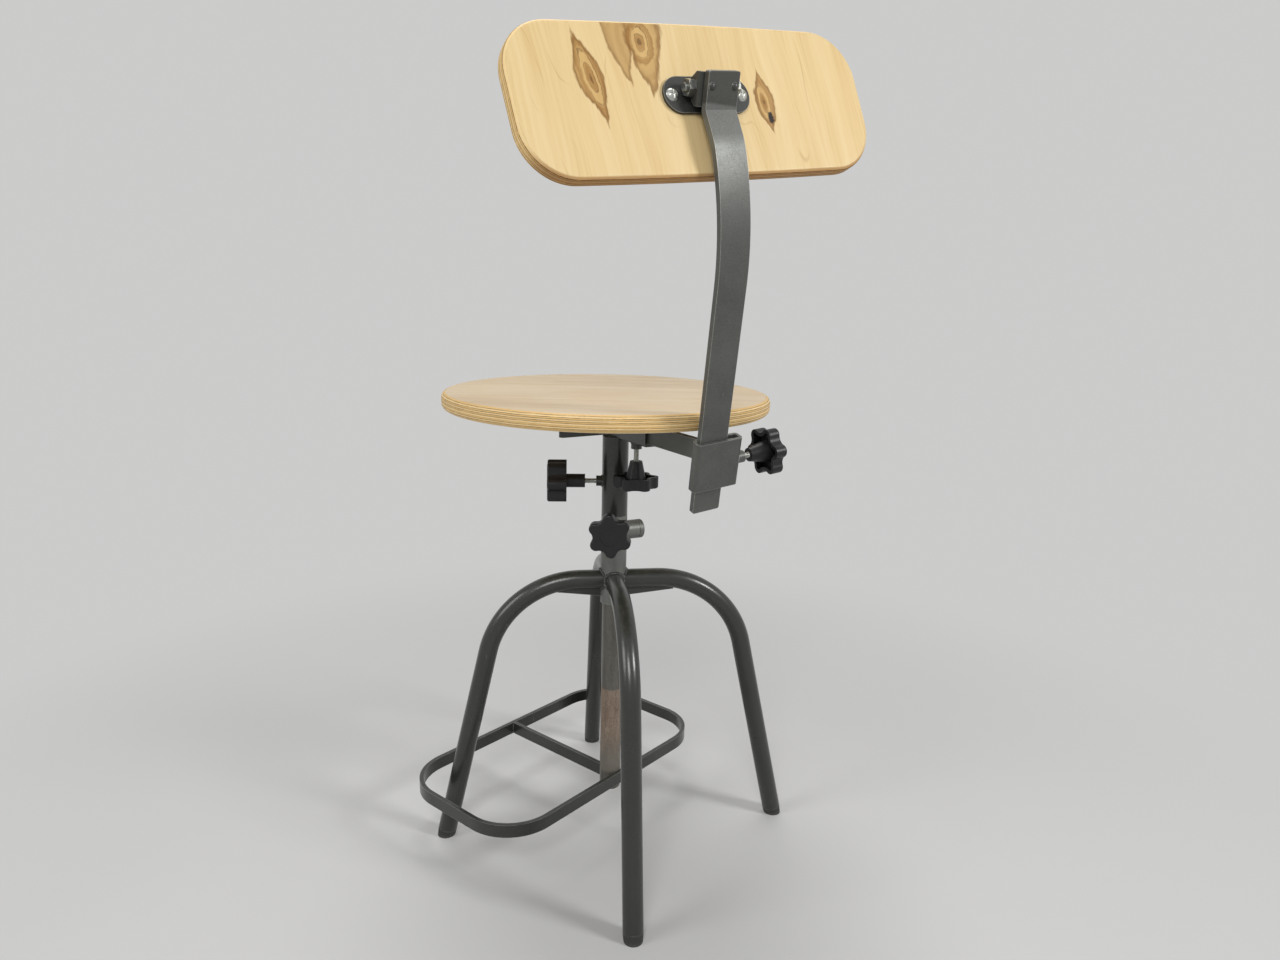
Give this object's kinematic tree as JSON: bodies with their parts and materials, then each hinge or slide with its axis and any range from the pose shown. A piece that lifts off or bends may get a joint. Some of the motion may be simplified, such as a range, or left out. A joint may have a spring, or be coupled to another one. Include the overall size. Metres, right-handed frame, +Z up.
{
  "type": "swivel work chair",
  "caption": "Height-adjustable swivel work chair with a round plywood seat, a swinging plywood backrest, a bent-tube base and a hoop footrest.",
  "frame": {"origin": "on the floor under the axis of the column", "axes": "+Z up; the sitter faces -Y with the left hand on +X; the base and the footrest stand turned about Z"},
  "size_m": [0.4211, 0.4492, 0.8941],
  "materials": {
    "frame_paint": "worn grey hammered enamel",
    "spindle_steel": "bare steel with old grease and rust",
    "fastener_zinc": "dulled zinc plating",
    "knob_plastic": "satin black moulded plastic",
    "plug_rubber": "matt black rubber",
    "seat_wood": "worn lacquer on birch plywood",
    "back_wood": "lacquered knotty plywood"
  },
  "bodies": {
    "base": {"hub_tube": "frame_paint", "leg_rear_left": "frame_paint", "leg_rear_right": "frame_paint", "leg_front_right": "frame_paint", "leg_front_left": "frame_paint", "leg_gussets": "frame_paint", "foot_plugs": "plug_rubber", "height_boss": "frame_paint", "brake_boss": "frame_paint", "brake_plug": "knob_plastic"},
    "spindle": {"spindle_tube": "spindle_steel", "spindle_top_plug": "fastener_zinc", "spindle_end_plug": "knob_plastic", "footrest_hoop": "frame_paint", "footrest_cross_strip": "frame_paint"},
    "seat": {"seat_tube": "frame_paint", "thrust_plug": "fastener_zinc", "swivel_boss": "frame_paint", "depth_guide": "frame_paint", "depth_boss": "frame_paint", "cross_bar_front": "frame_paint", "cross_bar_rear": "frame_paint", "seat_screws": "fastener_zinc", "seat_panel": "seat_wood"},
    "depth_slide": {"depth_bar": "frame_paint", "bar_sleeve": "frame_paint", "sleeve_boss": "frame_paint"},
    "back": {"back_bar": "frame_paint", "tilt_bracket": "frame_paint", "bracket_rivets": "frame_paint", "pivot_bolt": "fastener_zinc", "pivot_nut": "fastener_zinc"},
    "backrest": {"hinge_plate": "frame_paint", "pivot_spacer": "fastener_zinc", "hinge_screws": "fastener_zinc", "backrest_panel": "back_wood"},
    "height_clamp": {"height_knob": "knob_plastic", "height_screw": "fastener_zinc"},
    "swivel_clamp": {"swivel_knob": "knob_plastic", "swivel_screw": "fastener_zinc"},
    "depth_clamp": {"depth_knob": "knob_plastic", "depth_screw": "fastener_zinc"},
    "back_clamp": {"back_knob": "knob_plastic", "back_screw": "fastener_zinc"}
  },
  "joints": [
    {"name": "height", "type": "slide", "parent": "base", "child": "spindle", "axis": [0, 0, 1], "range_m": [0, 0.2]},
    {"name": "swivel", "type": "hinge", "parent": "spindle", "child": "seat", "pos_m": [0, 0, 0.44], "axis": [0, 0, 1], "continuous": true},
    {"name": "depth", "type": "slide", "parent": "seat", "child": "depth_slide", "axis": [0, 1, 0], "range_m": [0, 0.06]},
    {"name": "back_height", "type": "slide", "parent": "depth_slide", "child": "back", "axis": [0.1075, 0.264, 0.9585], "range_m": [-0.08, 0.02]},
    {"name": "tilt", "type": "hinge", "parent": "back", "child": "backrest", "pos_m": [0.03556, 0.21329, 0.82677], "axis": [0.9942, -0.0285, -0.1036], "range_deg": [-30, 0]},
    {"name": "height_clamp", "type": "hinge", "parent": "base", "child": "height_clamp", "pos_m": [0, 0, 0.389], "axis": [0.5736, 0.8192, 0], "continuous": true},
    {"name": "swivel_clamp", "type": "hinge", "parent": "seat", "child": "swivel_clamp", "pos_m": [0, 0, 0.44], "axis": [0.891, -0.454, 0], "continuous": true},
    {"name": "depth_clamp", "type": "hinge", "parent": "seat", "child": "depth_clamp", "pos_m": [0, 0.046, 0.4924], "axis": [0, 0, -1], "continuous": true},
    {"name": "back_clamp", "type": "hinge", "parent": "depth_slide", "child": "back_clamp", "pos_m": [0.00011, 0.18296, 0.49496], "axis": [-0.9942, 0.0285, 0.1036], "continuous": true}
  ]
}
